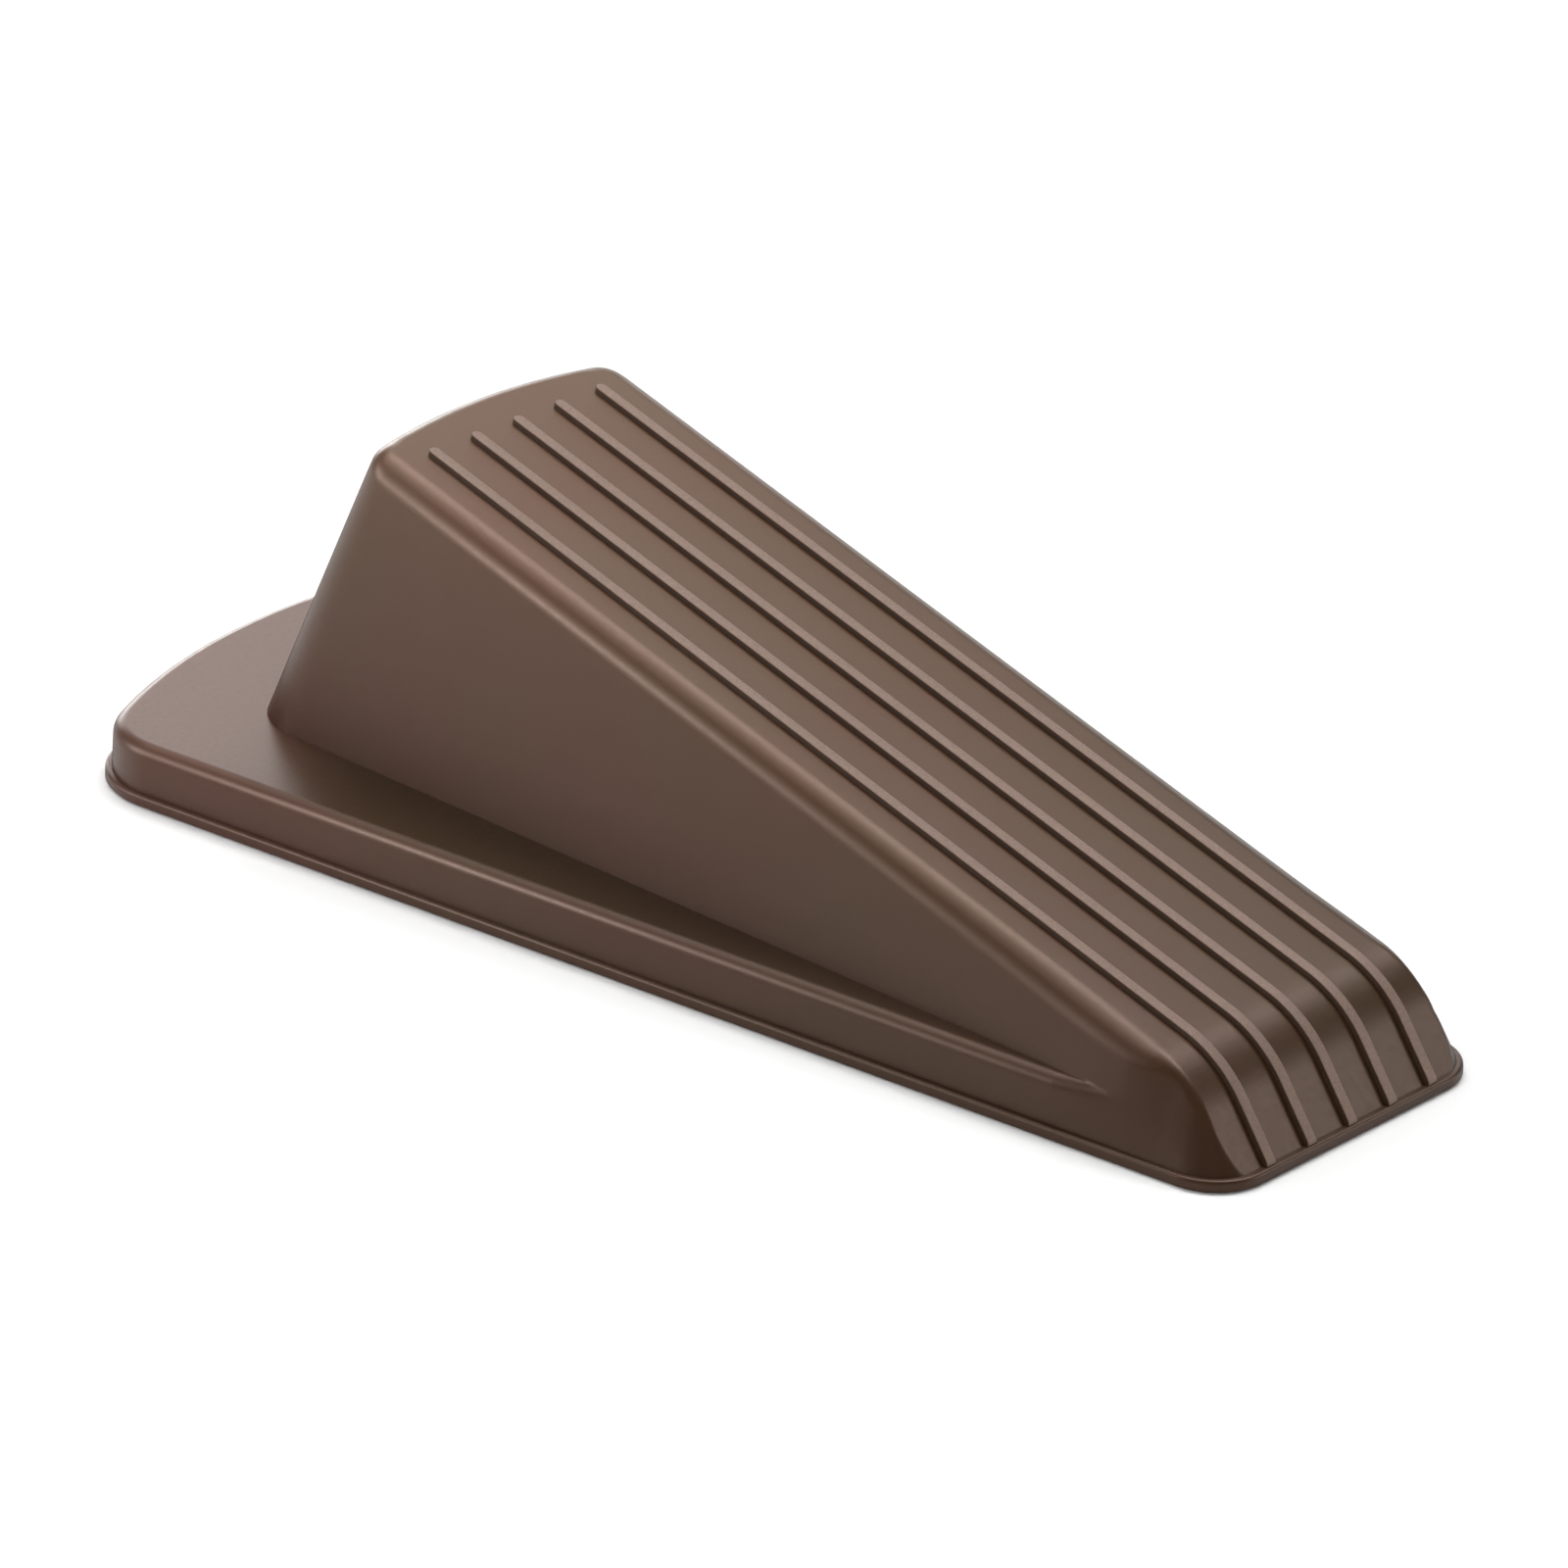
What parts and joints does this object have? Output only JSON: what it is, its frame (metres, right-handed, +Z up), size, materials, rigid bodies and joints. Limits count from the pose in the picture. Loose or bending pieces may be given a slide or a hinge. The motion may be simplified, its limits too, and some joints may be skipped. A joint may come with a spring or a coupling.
{
  "type": "door stop wedge",
  "caption": "Brown rubber door stop: a ribbed wedge on a wider foot, kicked under a door's bottom edge to hold it open.",
  "frame": {"origin": "on the floor, under the middle of the sole's outline", "axes": "+Z up, +Y from the thin toe towards the thick heel, +X to the right for someone looking from toe to heel; the part is symmetric about the plane X = 0"},
  "size_m": [0.0572, 0.1206, 0.0318],
  "materials": {
    "sole_rubber": "brown moulded rubber, satin, with a rounded lip",
    "foot_rubber": "brown moulded rubber, satin",
    "wedge_rubber": "brown moulded rubber, satin",
    "rib_rubber": "brown moulded rubber, matt and finely grained on top"
  },
  "bodies": {
    "root": {"sole_pad": "sole_rubber", "base_foot": "foot_rubber", "wedge_body": "wedge_rubber", "grip_rib_1": "rib_rubber", "grip_rib_2": "rib_rubber", "grip_rib_3": "rib_rubber", "grip_rib_4": "rib_rubber", "grip_rib_5": "rib_rubber"}
  },
  "joints": []
}
